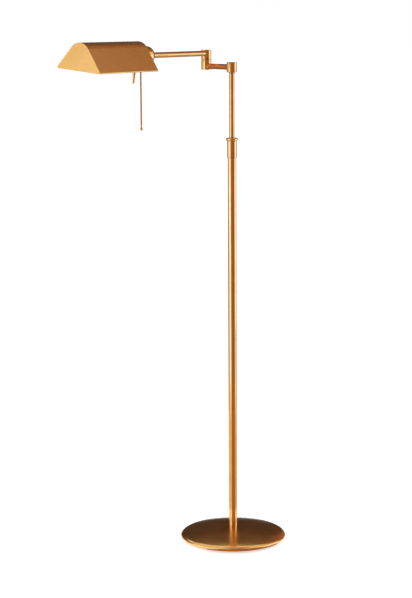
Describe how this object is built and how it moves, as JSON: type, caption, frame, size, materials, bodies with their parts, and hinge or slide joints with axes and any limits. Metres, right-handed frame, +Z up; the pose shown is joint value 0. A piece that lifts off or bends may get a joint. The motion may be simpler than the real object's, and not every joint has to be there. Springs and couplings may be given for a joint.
{
  "type": "reading lamp",
  "caption": "Swing-arm floor reading lamp: weighted round base, telescoping pole, jointed arms, turning tent shade, pull-chain switch.",
  "frame": {"origin": "centre of the base on the floor, on the pole's axis", "axes": "+Z up along the pole, -X along the long arm from the elbow to the shade at rest"},
  "size_m": [0.5774, 0.2912, 1.1993],
  "materials": {
    "brass_satin": "satin antique brass, brushed",
    "brass_chain": "polished brass",
    "brass_inner": "turned, unlacquered",
    "bulb_metal": "rolled bare metal",
    "steel_plain": "zinc plated",
    "iron_cast": "painted casting",
    "felt": "dark green wool felt",
    "nylon": "brown bearing nylon",
    "black_plastic": "moulded, fine texture",
    "porcelain": "glazed white porcelain",
    "frosted_glass": "frosted white"
  },
  "bodies": {
    "stand": {"base_pad": "felt", "base_weight": "iron_cast", "base_shell": "brass_satin", "base_nipple": "steel_plain", "base_washer": "steel_plain", "base_nut": "steel_plain", "cord_gland": "black_plastic", "lower_tube": "brass_satin", "tube_foot": "brass_inner", "collar_sleeve": "brass_satin", "collar_bush": "nylon", "collar_cap": "brass_satin"},
    "riser": {"riser_tube": "brass_satin", "riser_guide": "nylon", "riser_spindle": "brass_inner", "pole_glide": "nylon", "pole_spring_washer": "steel_plain", "pole_nut": "steel_plain"},
    "short_arm": {"pole_knuckle": "brass_satin", "pole_knuckle_cap": "brass_satin", "lower_arm_tube": "brass_satin", "elbow_lower": "brass_satin", "elbow_lower_cap": "brass_satin", "elbow_bolt": "brass_inner", "elbow_glide": "nylon", "elbow_spring_washer": "steel_plain", "elbow_nut": "steel_plain"},
    "long_arm": {"elbow_upper": "brass_satin", "elbow_upper_cap": "brass_satin", "elbow_set_screw": "steel_plain", "upper_arm_tube": "brass_satin", "spindle_bush": "nylon"},
    "shade_head": {"head_spindle": "brass_satin", "spindle_washer": "steel_plain", "spindle_nut": "steel_plain", "socket_cup": "brass_satin", "switch_housing": "black_plastic", "lamp_holder": "porcelain", "holder_shell": "brass_inner", "holder_contact": "brass_inner", "bulb_cap": "bulb_metal", "bulb_glass": "frosted_glass", "shade_clamp": "brass_satin", "turn_handle": "brass_satin", "shade_roof": "brass_satin", "shade_arm_end": "brass_satin", "shade_free_end": "brass_satin", "chain_guide": "brass_satin"},
    "switch_pull": {"switch_plunger": "brass_chain"},
    "pull_chain": {"bead_chain": "brass_chain", "chain_drop": "brass_chain"}
  },
  "joints": [
    {"name": "height_slide", "type": "slide", "parent": "stand", "child": "riser", "axis": [0, 0, 1], "range_m": [-0.145, 0.15]},
    {"name": "pole_swivel", "type": "hinge", "parent": "riser", "child": "short_arm", "pos_m": [0, 0, 1.137], "axis": [0, 0, 1], "range_deg": [-170, 170]},
    {"name": "elbow_swivel", "type": "hinge", "parent": "short_arm", "child": "long_arm", "pos_m": [0.05248, 0.10345, 1.152], "axis": [0, 0, 1], "range_deg": [-285, 52]},
    {"name": "shade_turn", "type": "hinge", "parent": "long_arm", "child": "shade_head", "pos_m": [-0.17752, 0.10345, 1.167], "axis": [1, 0, 0], "range_deg": [-96, 84]},
    {"name": "switch_pull", "type": "slide", "parent": "shade_head", "child": "switch_pull", "axis": [0, 0.1089, -0.9941], "range_m": [0, 0.007], "stiffness_N_per_m": 300, "springref_m": -0.003},
    {"name": "chain_swing", "type": "hinge", "parent": "switch_pull", "child": "pull_chain", "pos_m": [-0.21692, 0.10677, 1.13668], "axis": [1, 0, 0], "range_deg": [-88, 100]}
  ]
}
